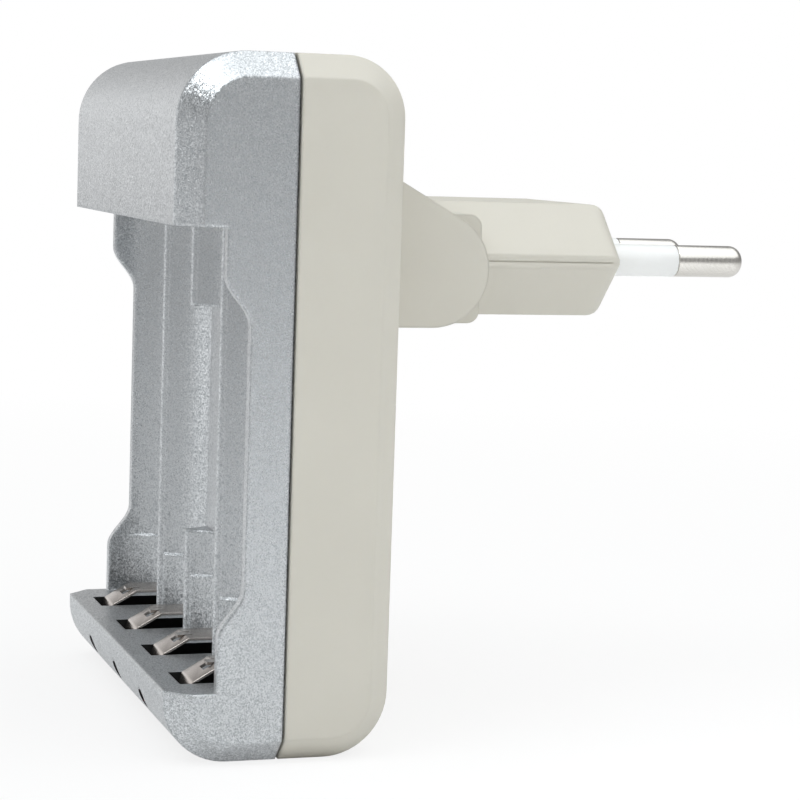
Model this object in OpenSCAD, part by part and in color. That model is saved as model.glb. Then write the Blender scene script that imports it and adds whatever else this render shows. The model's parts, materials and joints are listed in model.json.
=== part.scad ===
// Plug-in charger for four round cells, with a two-pin plug that folds against its back.
// Lengths are in millimetres. X runs across the bays, +Y points out of the back towards
// the wall socket and +Z is up. The origin is on the flat base, in the plane of the seam.

/* [Case] */
// Depth of the front shell, from the seam to the front face
front_depth = 13.4; // [12.8:0.1:16]
// Depth of the rear shell, from the seam to the back face
rear_depth = 13; // [12.6:0.1:16]
// Height of the block above the bays
top_block_h = 19.4; // [18.6:0.1:24]
// Height of the shelf under the bays
shelf_h = 8.5; // [8.2:0.1:11]
// Wall of both shells
wall = 1.8; // [1.6:0.1:2]
// Shelf and ceiling plates above and below the bays
plate_t = 1.6; // [1.4:0.1:2]
// Width of the slanted band round each side face
edge_band = 2.8; // [2:0.1:3.2]
// Corner radius at the top of the front face
front_top_r = 8; // [6:0.5:9]
// Corner radius at the bottom of the front face
front_low_r = 7.5; // [7:0.5:9]
// Corner radius at the top of the back face
rear_top_r = 7; // [5.5:0.5:8]
// Corner radius at the bottom of the back face
rear_low_r = 7.5; // [5.5:0.5:8]
// Open gap of the seam between the two shells
seam_gap = 0.35; // [0.2:0.05:0.6]
// How far the front shell's lip reaches into the rear shell
lip_h = 1.4; // [1:0.1:2]
// Thickness of that lip
lip_t = 0.8; // [0.6:0.05:1]

/* [Battery bays] */
// Diameter of the cell that a bay takes
cell_d = 14.5; // [14:0.1:15.5]
// Clear height of a bay, from the shelf to the ceiling
bay_len = 52.1; // [51:0.1:56]
// Room round the cell
cell_gap = 0.1; // [0.05:0.05:0.3]
// Thinnest wall between two bays
rib_wall = 0.7; // [0.6:0.1:1.5]
// Thinnest wall between an outer bay and the side face
side_wall = 1.35; // [1.2:0.05:2]
// Distance of a cell's axis in front of the seam
cell_axis = 7; // [6.4:0.1:7.6]
// How much deeper the bays are above their foot
floor_drop = 0.8; // [0.4:0.1:1.2]
// Height of the bays' narrower foot
foot_h = 7.8; // [6:0.1:10]
// Wall behind the deepest line of a bay
floor_wall = 1.5; // [1.2:0.1:2]
// Distance of the ribs' front edges in front of the seam
rib_depth = 4.5; // [4.1:0.1:5.2]
// Diameter of the rounded front edge of a rib
rib_nose_d = 1.1; // [0.8:0.1:1.2]
// Depth of the finger cut in the middle rib
finger_cut = 3.3; // [2:0.1:3.6]
// Height of the finger cut above the shelf
finger_low = 13.4; // [11:0.1:18]
// Height of the finger cut itself
finger_h = 27.8; // [22:0.1:30]
// Distance of the side walls' front edges in front of the seam, at their ends
side_high = 7.9; // [7.2:0.1:9]
// The same along the grip cut-outs
side_low = 5; // [4.9:0.05:6]
// Height of the lower bend of a grip cut-out above the shelf
grip_low = 8.9; // [7:0.1:12]
// Distance of the upper bend of a grip cut-out below the ceiling
grip_top = 8.1; // [5:0.1:10]
// Length of each bend of a grip cut-out
bend_len = 5.6; // [5:0.1:8]

/* [Contacts] */
// Width of a shelf window
window_w = 6.2; // [5.8:0.1:8]
// Distance of the windows' front edges in front of the seam
window_front = 10.8; // [10.2:0.1:11]
// Distance of the windows' rear edges in front of the seam
window_rear = 0.5; // [0.4:0.1:1]
// Width of a negative contact
negative_w = 5.6; // [4.6:0.1:5.6]
// Thickness of the contact sheet
sheet_t = 0.35; // [0.25:0.05:0.6]
// Height of a negative contact's pad above the shelf
pad_rise = 1.9; // [1.4:0.1:1.9]
// Distance of the pad's front bend in front of the seam
pad_front = 6.1; // [5:0.1:7]
// Width of the tongue that is punched out of a pad
tongue_w = 1.6; // [1.2:0.1:2.4]
// Length of that tongue in front of the pad's bend
tongue_out = 1; // [0.6:0.1:1.2]
// Width of a positive contact
positive_w = 7; // [5:0.1:9]
// Distance of a positive contact's front edge in front of the seam
positive_front = 10.4; // [9:0.1:11]
// Distance of a positive contact's upright tail in front of the seam
positive_rear = 3; // [2.4:0.1:3.6]

/* [Indicators] */
// Diameter of an indicator lamp
led_d = 2.1; // [1.8:0.1:2.6]
// Room between the lamps and the base's wall
led_rise = 1.55; // [1:0.05:1.8]
// How far a lamp's dome is sunk in its hole
led_sink = 0.2; // [0:0.1:0.6]
// Length of a lamp
led_len = 7.6; // [6.5:0.1:8.5]

/* [Folding plug] */
// Distance of the hinge axis behind the back face
hinge_out = 7; // [6.9:0.05:8]
// Height of the hinge axis above the base
hinge_h = 55.7; // [52:0.1:58]
// Radius of the hub round the hinge axis
hub_r = 6.5; // [6:0.05:6.6]
// Width of the hub between the ears
hub_w = 35.2; // [33:0.1:38]
// Distance of the hub's shoulder from the hinge axis
hub_reach = 6.8; // [6.6:0.1:8]
// Rounding of the hub's shoulder
hub_edge_r = 1.5; // [0.8:0.1:2]
// Running gap between the hub and each ear
hub_gap = 0.3; // [0.2:0.05:0.5]
// Radius of the trunnions
trunnion_r = 2.5; // [2:0.1:3]
// Length of a trunnion
trunnion_len = 1.6; // [1:0.1:1.8]
// Running gap round a trunnion
trunnion_gap = 0.05; // [0.03:0.01:0.1]
// Thickness of an ear
ear_t = 2.6; // [2.4:0.1:4]
// Radius of an ear's nose
ear_r = 6.85; // [5.5:0.05:6.85]
// Height of an ear's top above the hinge axis, at the back face
ear_rise = 12.3; // [10:0.1:13]
// Width of the plug across its ridges
plug_w = 35; // [33:0.1:36]
// Width of the plug's flat top
plug_flat_w = 22; // [20:0.1:26]
// Thickness of the plug
plug_t = 13.8; // [12.6:0.1:13.8]
// Height of the plug's axis above the hinge axis
plug_rise = 1; // [0.5:0.1:1.4]
// Length of the plug in front of the hub's shoulder
plug_len = 18.95; // [16:0.05:22]
// Height of the flat band along each ridge
ridge_h = 1.6; // [1:0.1:2.4]
// Rounding of the plug's face
plug_edge_r = 2.4; // [1:0.1:2.8]
// Width and depth of the parting line along the plug's ridges
parting_line = 0.15; // [0.1:0.05:0.3]
// Distance between the pins
pin_spacing = 18.6; // [17.5:0.1:19]
// Diameter of a pin
pin_d = 4; // [3.9:0.01:4.1]
// Length of a pin in front of the plug's face
pin_len = 19.2; // [18.5:0.1:19.5]
// Length of a pin's insulating sleeve in front of the plug's face
sleeve_len = 10; // [9:0.1:11]
// Diameter of a pin's core inside its sleeve
core_d = 2.9; // [2.4:0.1:3.1]

/* [Inside] */
// Distance of the circuit board behind the bays
board_gap = 3.75; // [3:0.05:4]
// Thickness of the circuit board
board_t = 1.6; // [1:0.1:1.6]
// Margin of the circuit board inside the case
board_margin = 3; // [2.4:0.1:4]
// Diameter of a case screw
screw_d = 2.5; // [2:0.1:2.8]
// Diameter of a screw head
screw_head_d = 4.8; // [4:0.1:5]
// Height of a screw head
screw_head_h = 1.8; // [1.4:0.1:2]
// Height of the lower screws above the shelf
screw_low = 4.5; // [4:0.1:5.5]
// Height of the upper screws above the ceiling
screw_high = 9.9; // [9.4:0.1:11]
// Distance of the upper screws from the middle
screw_out = 23; // [22.8:0.1:24]
// Width of the transformer's core
core_w = 16; // [14:0.1:17]
// Height of the transformer's core
core_h = 12; // [10:0.1:12.4]
// Diameter of the mains capacitor
mains_cap_d = 8; // [6:0.1:8.4]
// Length of the mains capacitor
mains_cap_len = 12; // [9:0.1:14]
// Diameter of the output capacitor
output_cap_d = 6.3; // [5:0.1:8]
// Length of the output capacitor
output_cap_len = 9; // [7:0.1:12]
// Distance of a mains spring's foot below the plug's axis
spring_foot = 10; // [9:0.1:12]
// Distance of its first bend below the plug's axis
spring_knee = 6.5; // [5.5:0.1:7]
// Half height of its bow where it passes the back wall
spring_bow = 2.4; // [2:0.1:2.6]
// Height of the flat crest that touches a pin's tail
spring_crest = 1.4; // [1:0.1:2]

/* [Hidden] */
$fn = 64;

// Reach of a cutting shape past the face that it cuts
over = 1;
// Clearance between fixed pieces that slide together
fit = 0.15;
// Overlap of two forms that belong to one moulding
fuse = 0.4;

// Bays
bay_r = cell_d / 2 + cell_gap;
bay_pitch = 2 * bay_r + rib_wall;
bay_xs = [for (i = [0:3]) (i - 1.5) * bay_pitch];
rib_xs = [for (i = [-1:1]) i * bay_pitch];
bay_top = shelf_h + bay_len;
foot_top = shelf_h + foot_h;
foot_axis_y = -cell_axis;
bay_axis_y = floor_drop - cell_axis;
bay_back_y = bay_axis_y + bay_r + floor_wall;
rib_nose_y = rib_nose_d / 2 - rib_depth;
finger_y = finger_cut - rib_depth;
finger_z = [shelf_h + finger_low, shelf_h + finger_low + finger_h];
rib_core_w = 3.6;
bend_steps = 12;

// Case
half_w = bay_xs[3] + bay_r + side_wall;
case_h = bay_top + top_block_h;
mid_h = case_h / 2;
// A band narrows by this share of the depth at which its form is inset
band_shrink = 2 - sqrt(2);

// Board and screws
board_y = bay_back_y + board_gap;
board_back_y = board_y + board_t;
board_z = [wall + 0.8, case_h - wall - 1.6];
boss_r = screw_d / 2 + 1.75;
post_r = screw_head_d / 2 + fit + 1.2;
head_seat = 1;
screw_len = 9.6;
screws = [
    for (side = [-1, 1]) [side * bay_pitch, shelf_h + screw_low],
    for (side = [-1, 1]) [side * screw_out, bay_top + screw_high]
];

// Contacts
pad_z = shelf_h + pad_rise - sheet_t / 2;
negative_ramp = [1.7 - window_front, shelf_h];
negative_tip = negative_ramp - [0.6, 1.3];
negative_leg_y = -window_rear - 0.4 - sheet_t / 2;
negative_tail_z = shelf_h - plate_t - 1.7;
pivot_r = 0.6;
pivot_y = board_y - pivot_r - 0.05;
tongue_gap = 0.2;
tongue_slot = 0.5;
tongue_root = 0.8;
positive_tail_w = 4;
positive_tail_z = bay_top + plate_t + 0.8;
positive_boss = 0.2;

// Indicators
led_h = wall + led_rise + fit + led_d / 2;
led_tip_y = led_sink + front_low_r - front_depth - sqrt(pow(front_low_r, 2) - pow(front_low_r - led_h, 2));
led_foot_y = led_tip_y + led_len;
led_lead_t = 0.5;
led_lead_gap = 1.27;

// Plug
hinge_y = rear_depth + hinge_out;
plug_z = hinge_h + plug_rise;
shoulder_y = hinge_y + hub_reach;
face_y = shoulder_y + plug_len;
ear_x = hub_w / 2 + hub_gap;
pin_r = pin_d / 2;
core_r = core_d / 2;
tail_y = hinge_y - sqrt(pow(hub_r, 2) - pow(plug_rise + core_r, 2));
tail_tip_y = hinge_y - sqrt(pow(hub_r, 2) - pow(plug_rise, 2)) + 0.05;
spring_w = 2.2;
spring_t = 0.4;
spring_tip_y = hinge_y - hub_r - 0.2;
slot_w = spring_w + 0.8;
slot_h = 6;

// Colours
silver_paint = "#b9bdbf";
cream_plastic = "#dcdbd2";
nickel = "#c9c4ba";
brass = "#c8a85a";

// A strip's outline: its bent centre line, widened to both sides with mitred bends
function unit(v) = v / norm(v);
function left_of(a, b) = let (d = unit(b - a)) [-d[1], d[0]];
function mitre(path, i) =
    let (
        last = len(path) - 1,
        before = left_of(path[max(i - 1, 0)], path[max(i, 1)]),
        after = left_of(path[min(i, last - 1)], path[min(i + 1, last)])
    )
    (before + after) / (1 + before * after);
function ribbon(path, t) = concat(
    [for (i = [0:len(path) - 1]) path[i] + mitre(path, i) * t / 2],
    [for (i = [len(path) - 1:-1:0]) path[i] - mitre(path, i) * t / 2]
);

// One smooth bend of a grip cut-out, from depth y0 to depth y1 round the height z
function bend(z, y0, y1) = [
    for (i = [0:bend_steps])
        let (t = i / bend_steps)
        [y0 + (y1 - y0) * (1 - cos(180 * t)) / 2, z + bend_len * (t - 0.5)]
];

// Draws an outline of [y, z] points and stretches it along X, from x
module along_x(x, length) {
    translate([x, 0, 0]) rotate([90, 0, 90]) linear_extrude(length) children();
}

// A round bar along +Y
module bar_y(x, y, z, r, length) {
    translate([x, y, z]) rotate([-90, 0, 0]) cylinder(r = r, h = length);
}

// A box from one corner to the other
module block(low, high) {
    translate(low) cube(high - low);
}

module bent_strip(path, t, x, w) {
    along_x(x - w / 2, w) polygon(ribbon(path, t));
}

// A quarter of the case's form in +Y and +Z, inset by a wall, from the depth start outwards
module quarter_form(inset, depth, corner_r, start) {
    w = half_w - inset;
    d = depth - inset;
    h = mid_h - inset;
    r = corner_r - inset;
    band = edge_band - inset * band_shrink;
    linear_extrude(h - r)
        polygon([[-w, start], [w, start], [w, d - band], [w - band, d], [band - w, d], [-w, d - band]]);
    translate([0, d - r, 0]) rotate([90, 0, 0]) linear_extrude(d - r - start)
        polygon([[-w, 0], [w, 0], [w, h - band], [w - band, h], [band - w, h], [-w, h - band]]);
    translate([0, d - r, h - r]) rotate([90, 0, 90]) rotate_extrude(angle = 90)
        polygon([[0, -w], [r - band, -w], [r, band - w], [r, w - band], [r - band, w], [0, w]]);
}

module half_form(inset, depth, top_r, low_r, start) {
    translate([0, 0, mid_h]) {
        quarter_form(inset, depth, top_r, start);
        mirror([0, 0, 1]) quarter_form(inset, depth, low_r, start);
    }
}

module front_form(inset, start) {
    mirror([0, 1, 0]) half_form(inset, front_depth, front_top_r, front_low_r, start);
}

module rear_form(inset, start) {
    half_form(inset, rear_depth, rear_top_r, rear_low_r, start);
}

// The case's cross-section at the seam, inset by a wall, between two depths
module seam_form(inset, y0, y1) {
    w = half_w - inset;
    top = case_h - inset;
    band = edge_band - inset * band_shrink;
    translate([0, y1, 0]) rotate([90, 0, 0]) linear_extrude(y1 - y0)
        polygon([
            [band - w, inset], [w - band, inset], [w, inset + band], [w, top - band],
            [w - band, top], [band - w, top], [-w, top - band], [-w, inset + band]
        ]);
}

// The space of one bay: a round trough, open to the front
module trough(x, axis_y, z0, z1) {
    translate([x, axis_y, z0]) {
        rotate_extrude(angle = 180) square([bay_r, z1 - z0]);
        translate([-bay_r, -front_depth, 0]) cube([2 * bay_r, front_depth, z1 - z0]);
    }
}

// The solid that the bays are cut from, with the shelf and the ceiling
module bay_block() {
    low = shelf_h - plate_t;
    high = bay_top + plate_t;
    inner = half_w - wall - fit - lip_t / 2;
    intersection() {
        front_form(wall / 2, seam_gap / 2);
        block([-half_w, -front_depth, low], [half_w, 0, high]);
    }
    block([-inner, -rib_depth, low], [inner, bay_back_y, high]);
}

// Everything in front of the side walls and the ribs
module bay_mouth() {
    front = -front_depth - over;
    along_x(-half_w - over, 2 * (half_w + over)) polygon(concat(
        [[front, shelf_h], [-side_high, shelf_h]],
        bend(shelf_h + grip_low, -side_high, -side_low),
        bend(bay_top - grip_top, -side_low, -side_high),
        [[-side_high, bay_top], [front, bay_top]]
    ));
    block([bay_xs[0], front, shelf_h], [bay_xs[3], rib_nose_y, bay_top]);
    block([-bay_pitch / 2, front, finger_z[0]], [bay_pitch / 2, finger_y, finger_z[1]]);
}

module rib_nose(x, z0, z1) {
    translate([x, rib_nose_y, z0]) cylinder(d = rib_nose_d, h = z1 - z0);
}

module rib_noses() {
    for (x = [rib_xs[0], rib_xs[2]]) rib_nose(x, shelf_h, bay_top);
    rib_nose(0, shelf_h, finger_z[0]);
    rib_nose(0, finger_z[1], bay_top);
}

module front_shell_solid() {
    difference() {
        front_form(0, seam_gap / 2);
        front_form(wall, -over);
    }
    bay_block();
    difference() {
        seam_form(wall - lip_t, -seam_gap / 2 - over, lip_h);
        seam_form(wall, -seam_gap / 2 - 2 * over, lip_h + over);
    }
    for (s = screws) {
        start = s[1] > bay_top ? wall - fuse - front_depth : bay_back_y - fuse;
        bar_y(s[0], start, s[1], boss_r, board_y - start);
    }
}

module front_shell() color(silver_paint) {
    difference() {
        front_shell_solid();
        bay_mouth();
        for (x = bay_xs) {
            trough(x, foot_axis_y, shelf_h, foot_top);
            trough(x, bay_axis_y, foot_top, bay_top);
            block(
                [x - window_w / 2, -window_front, shelf_h - plate_t - over],
                [x + window_w / 2, -window_rear, shelf_h + over]
            );
            block(
                [x - positive_w / 2 - fit, -positive_front - fit, bay_top - over],
                [x + positive_w / 2 + fit, -positive_rear + sheet_t, bay_top + sheet_t]
            );
            block(
                [x - positive_tail_w / 2 - fit, -positive_rear - sheet_t, bay_top - over],
                [x + positive_tail_w / 2 + fit, -positive_rear + sheet_t, bay_top + plate_t + over]
            );
        }
        for (x = rib_xs) {
            bar_y(x, -front_depth - over, led_h, led_d / 2 + fit, led_foot_y + front_depth + over);
            block(
                [x - rib_core_w / 2, finger_y + floor_wall, finger_z[0]],
                [x + rib_core_w / 2, bay_back_y + over, finger_z[1]]
            );
        }
        for (s = screws)
            bar_y(s[0], board_back_y + head_seat - screw_len - 0.5, s[1], screw_d / 2, screw_len);
    }
    rib_noses();
}

// One ear's outline: a round nose, a flat underside and a slope up to the back face. The flat-sided part
// has a corner inside the nose, so that the two overlap and join into one solid
module ear(x) {
    foot_y = rear_depth - wall / 2;
    top = [foot_y - hinge_y, ear_rise];
    turn = atan2(top[1], top[0]) - acos(ear_r / norm(top));
    nose_mid = (turn - 90) / 2;
    inside = ear_r / 2 * [cos(nose_mid), sin(nose_mid)];
    along_x(x, ear_t) translate([hinge_y, hinge_h])
        polygon([[top[0], -ear_r], [0, -ear_r], inside, [ear_r * cos(turn), ear_r * sin(turn)], top]);
    translate([x, hinge_y, hinge_h]) rotate([90, 0, 90]) rotate([0, 0, -90])
        rotate_extrude(angle = 90 + turn) square([ear_r, ear_t]);
}

module rear_shell() color(cream_plastic) {
    difference() {
        union() {
            difference() {
                rear_form(0, seam_gap / 2);
                rear_form(wall, -over);
            }
            for (s = screws)
                bar_y(s[0], board_back_y, s[1], post_r, rear_depth - wall + fuse - board_back_y);
            ear(ear_x);
            mirror([1, 0, 0]) ear(ear_x);
        }
        seam_form(wall - lip_t - fit, -over, lip_h + fit);
        for (s = screws) {
            seat = board_back_y + head_seat;
            bar_y(s[0], board_back_y - over, s[1], screw_d / 2 + fit, head_seat + 2 * over);
            bar_y(s[0], seat, s[1], screw_head_d / 2 + fit, rear_depth + over - seat);
        }
        for (side = [-1, 1])
            block(
                [side * pin_spacing / 2 - slot_w / 2, rear_depth - wall - over, plug_z - slot_h / 2],
                [side * pin_spacing / 2 + slot_w / 2, rear_depth + over, plug_z + slot_h / 2]
            );
        translate([-ear_x - trunnion_len, hinge_y, hinge_h]) rotate([0, 90, 0])
            cylinder(r = trunnion_r + trunnion_gap, h = 2 * (ear_x + trunnion_len));
    }
}

module circuit_board() color("#3d7a4a") {
    w = half_w - wall - board_margin;
    difference() {
        block([-w, board_y, board_z[0]], [w, board_back_y, board_z[1]]);
        for (s = screws) bar_y(s[0], board_y - over, s[1], screw_d / 2 + fit, board_t + 2 * over);
    }
}

// The transformer stands on the board in the top block, its windings round the middle leg
coil_wall = 2.8;
leg_w = core_w / 4;
core_t = 5;
coil_d = core_t + 2 * coil_wall;
yoke_h = core_h / 6;
core_mid_y = board_y - coil_d / 2;
core_z = bay_top + plate_t + 2;

module transformer_core() color("#3a3a3d") difference() {
    block(
        [-core_w / 2, core_mid_y - core_t / 2, core_z],
        [core_w / 2, core_mid_y + core_t / 2, core_z + core_h]
    );
    for (side = [-1, 1]) {
        mid = side * (leg_w / 2 + coil_wall / 2 + fit);
        block(
            [mid - coil_wall / 2 - fit, core_mid_y - core_t, core_z + yoke_h],
            [mid + coil_wall / 2 + fit, core_mid_y + core_t, core_z + core_h - yoke_h]
        );
    }
}

module transformer_coil() color("#b5793a") difference() {
    high = leg_w / 2 + coil_wall;
    block([-high, core_mid_y - coil_d / 2, core_z + yoke_h], [high, board_y, core_z + core_h - yoke_h]);
    block(
        [-leg_w / 2 - fit / 2, core_mid_y - core_t / 2 - fit / 2, core_z],
        [leg_w / 2 + fit / 2, core_mid_y + core_t / 2 + fit / 2, core_z + core_h]
    );
}

module capacitor(x, d, length) {
    r = d / 2;
    crimp = 1.7;
    rim = 0.5;
    translate([x, board_y, core_z + core_h / 2]) rotate([90, 0, 0]) rotate_extrude()
        polygon([
            [0, 0], [r, 0], [r, crimp - rim], [r - rim, crimp], [r, crimp + rim],
            [r, length - rim], [r - rim, length], [0, length]
        ]);
}

cap_gap = 0.8;

module mains_capacitor() color("#2f3f66")
    capacitor(-core_w / 2 - cap_gap - mains_cap_d / 2, mains_cap_d, mains_cap_len);

module output_capacitor() color("#2f3f66")
    capacitor(core_w / 2 + cap_gap + output_cap_d / 2, output_cap_d, output_cap_len);

// A bent strip on the board's back, with a bow that reaches through the back wall
module mains_spring(side) color(brass) {
    y = board_back_y + spring_t / 2;
    inner_y = rear_depth - wall - spring_t;
    tip = [spring_tip_y - spring_t / 2, plug_z];
    bent_strip(
        [
            [y, plug_z - spring_foot], [y, plug_z - spring_knee], [inner_y, plug_z - spring_bow],
            tip - [0, spring_crest / 2], tip + [0, spring_crest / 2], [inner_y, plug_z + spring_bow]
        ],
        spring_t, side * pin_spacing / 2, spring_w
    );
}

module positive_contact(i) color(nickel) {
    z = bay_top + sheet_t / 2;
    x = bay_xs[i];
    bent_strip([[-positive_front, z], [sheet_t / 2 - positive_rear, z]], sheet_t, x, positive_w);
    bent_strip(
        [
            [-positive_rear - sheet_t, z], [-positive_rear, z], [-positive_rear, positive_tail_z],
            [board_y, positive_tail_z]
        ],
        sheet_t, x, positive_tail_w
    );
    translate([x, bay_axis_y, z - sheet_t / 2 - positive_boss])
        cylinder(r = positive_w / 4, h = positive_boss + sheet_t / 2);
}

// A sprung strip: a tip bent down, a ramp and a pad over the window, a leg and a rolled end at the board.
// A tongue is punched out of the ramp and stays level with the pad
module negative_contact(i) color(nickel) {
    x = bay_xs[i];
    slot = tongue_w / 2 + tongue_gap;
    difference() {
        bent_strip(
            [
                negative_tip, negative_ramp, [-pad_front, pad_z], [negative_leg_y, pad_z],
                [negative_leg_y, negative_tail_z], [pivot_y, negative_tail_z]
            ],
            sheet_t, x, negative_w
        );
        block(
            [x - slot, -pad_front - tongue_out - tongue_slot, shelf_h],
            [x + slot, tongue_root - pad_front, pad_z + sheet_t]
        );
    }
    bent_strip(
        [[-pad_front - tongue_out, pad_z], [tongue_root + fuse - pad_front, pad_z]], sheet_t, x, tongue_w
    );
    translate([x - negative_w / 2, pivot_y, negative_tail_z]) rotate([0, 90, 0])
        cylinder(r = pivot_r, h = negative_w);
}

// A lamp lies along Y with its dome sunk a little in the rounded front corner
module led(x) color("#6e1420") {
    r = led_d / 2;
    foot_t = 1;
    translate([x, led_foot_y, led_h]) rotate([90, 0, 0]) rotate_extrude()
        polygon(concat(
            [[0, 0], [r + fit, 0], [r + fit, foot_t], [r, foot_t]],
            [for (a = [0:10:80]) [r * cos(a), led_len - r + r * sin(a)]],
            [[0, led_len]]
        ));
}

module led_leads() color(nickel) for (x = rib_xs) for (side = [-1, 1]) {
    mid = x + side * led_lead_gap / 2;
    block(
        [mid - led_lead_t / 2, led_foot_y, led_h - led_lead_t / 2],
        [mid + led_lead_t / 2, board_y, led_h + led_lead_t / 2]
    );
}

module case_screw(x, z) {
    seat = board_back_y + head_seat;
    recess = screw_head_d * 0.3;
    difference() {
        union() {
            bar_y(x, seat - screw_len, z, screw_d / 2, screw_len + screw_head_h / 2);
            bar_y(x, seat, z, screw_head_d / 2, screw_head_h);
        }
        for (turn = [0, 90])
            translate([x, seat + screw_head_h, z]) rotate([0, turn, 0])
                cube([2 * recess, screw_head_h, recess / 2], center = true);
    }
}

module case_screws() color("#8a8d90") for (s = screws) case_screw(s[0], s[1]);

// The hub's outline: round behind the hinge axis, square with rounded edges in front of it
module hub() {
    x = -hub_w / 2;
    y = hub_reach - hub_edge_r;
    z = hub_r - hub_edge_r;
    translate([x, hinge_y, hinge_h]) {
        rotate([90, 0, 90]) rotate([0, 0, 90]) rotate_extrude(angle = 180) square([hub_r, hub_w]);
        block([0, 0, -hub_r], [hub_w, y, hub_r]);
        block([0, y, -z], [hub_w, hub_reach, z]);
        for (side = [0, 1]) mirror([0, 0, side]) translate([0, y, z]) rotate([90, 0, 90])
            rotate_extrude(angle = 90) square([hub_edge_r, hub_w]);
    }
    for (side = [0, 1]) mirror([side, 0, 0]) translate([hub_w / 2 - fuse, hinge_y, hinge_h])
        rotate([0, 90, 0]) cylinder(r = trunnion_r, h = trunnion_len + fuse + hub_gap - fit);
}

// A thick slab through the plug's axis, turned about it, with its face's edges rounded
module plug_slab(half, turn) {
    start = hinge_y;
    end = face_y - plug_edge_r;
    step = 15;
    translate([0, 0, plug_z]) rotate([0, turn, 0]) along_x(-plug_w, 2 * plug_w) polygon(concat(
        [[start, half], [start, -half]],
        [for (a = [-90:step:0]) [end + plug_edge_r * cos(a), plug_edge_r * (1 + sin(a)) - half]],
        [for (a = [0:step:90]) [end + plug_edge_r * cos(a), half - plug_edge_r * (1 - sin(a))]]
    ));
}

// The plug's flat six-sided form: where slabs meet across its thickness, slopes and ridges
module plug_form() {
    slope = [plug_w - plug_flat_w, plug_t - ridge_h] / 2;
    turn = atan2(slope[1], slope[0]);
    reach = plug_flat_w / 2 * sin(turn) + plug_t / 2 * cos(turn);
    intersection() {
        plug_slab(plug_t / 2, 0);
        plug_slab(reach, turn);
        plug_slab(reach, -turn);
        plug_slab(plug_w / 2, 90);
    }
}

module plug_body() color(cream_plastic) difference() {
    union() {
        hub();
        plug_form();
    }
    for (side = [-1, 1]) {
        x = side * pin_spacing / 2;
        bar_y(x, hinge_y - hub_r - over, plug_z, core_r, face_y - hinge_y + hub_r + 2 * over);
        translate([side * plug_w / 2, shoulder_y + plug_len / 2, plug_z])
            cube([2 * parting_line, plug_len + over, parting_line], center = true);
    }
}

// A turned pin: bare rounded tip, thin core inside the sleeve and a pointed tail at the hub
module plug_pin(side) color(nickel) {
    tip_r = pin_r * 0.8;
    length = face_y + pin_len - tail_tip_y;
    neck = face_y + sleeve_len - tail_tip_y;
    translate([side * pin_spacing / 2, tail_tip_y, plug_z]) rotate([-90, 0, 0]) rotate_extrude()
        polygon(concat(
            [[0, 0], [core_r / 3, 0], [core_r, tail_y - tail_tip_y], [core_r, neck], [pin_r, neck]],
            [for (a = [0:15:90]) [pin_r - tip_r * (1 - cos(a)), length - tip_r * (1 - sin(a))]],
            [[0, length]]
        ));
}

module pin_sleeve(side) color("#f2f2ee") {
    translate([side * pin_spacing / 2, face_y, plug_z]) rotate([-90, 0, 0]) rotate_extrude()
        translate([core_r, 0]) square([pin_r - core_r, sleeve_len]);
}

front_shell();
rear_shell();
circuit_board();
transformer_core();
transformer_coil();
mains_capacitor();
output_capacitor();
mains_spring(-1);  // mains_spring_left
mains_spring(1);  // mains_spring_right
positive_contact(0);  // positive_contact_1
positive_contact(1);  // positive_contact_2
positive_contact(2);  // positive_contact_3
positive_contact(3);  // positive_contact_4
negative_contact(0);  // negative_contact_1
negative_contact(1);  // negative_contact_2
negative_contact(2);  // negative_contact_3
negative_contact(3);  // negative_contact_4
led(rib_xs[0]);  // led_left
led(rib_xs[1]);  // led_centre
led(rib_xs[2]);  // led_right
led_leads();
case_screws();
plug_body();
plug_pin(-1);  // plug_pin_left
plug_pin(1);  // plug_pin_right
pin_sleeve(-1);  // pin_sleeve_left
pin_sleeve(1);  // pin_sleeve_right
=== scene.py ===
# %% [markdown]
# # A plug-in battery charger with a folding plug
#
# The charger is a silver-painted tray of four bays, closed at the back by an off-white tub. A two-pin
# plug folds out of that back. The solids come ready-made from the CAD model, so this lesson is about
# finish: softened moulding edges, bent contact strips, turned pins, and paint, plastic and plated metal
# that catch the light as the real ones do.

# %% Load the frame
import json
import math

import bmesh
import bpy
from mathutils import Matrix, Vector
from mathutils.bvhtree import BVHTree

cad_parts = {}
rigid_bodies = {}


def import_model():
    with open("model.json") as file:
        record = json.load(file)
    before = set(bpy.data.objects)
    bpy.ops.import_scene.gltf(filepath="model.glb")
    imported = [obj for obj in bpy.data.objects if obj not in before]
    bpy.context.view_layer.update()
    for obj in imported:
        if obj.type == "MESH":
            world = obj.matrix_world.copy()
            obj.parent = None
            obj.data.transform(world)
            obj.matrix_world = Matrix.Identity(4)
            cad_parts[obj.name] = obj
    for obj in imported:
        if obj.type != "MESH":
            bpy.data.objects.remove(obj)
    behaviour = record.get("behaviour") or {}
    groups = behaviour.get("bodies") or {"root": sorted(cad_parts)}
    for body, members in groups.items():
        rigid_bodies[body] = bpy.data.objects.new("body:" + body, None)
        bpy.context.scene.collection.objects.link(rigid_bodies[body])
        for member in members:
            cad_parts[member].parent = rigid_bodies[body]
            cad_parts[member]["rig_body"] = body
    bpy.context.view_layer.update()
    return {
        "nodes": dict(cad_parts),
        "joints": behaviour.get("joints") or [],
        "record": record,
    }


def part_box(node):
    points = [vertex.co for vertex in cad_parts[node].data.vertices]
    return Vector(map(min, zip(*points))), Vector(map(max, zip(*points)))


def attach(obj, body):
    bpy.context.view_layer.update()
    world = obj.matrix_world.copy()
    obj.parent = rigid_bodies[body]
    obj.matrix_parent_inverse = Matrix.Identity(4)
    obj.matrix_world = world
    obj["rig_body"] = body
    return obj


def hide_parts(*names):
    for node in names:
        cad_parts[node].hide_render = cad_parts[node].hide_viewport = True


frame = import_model()
nodes = frame["nodes"]
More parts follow.
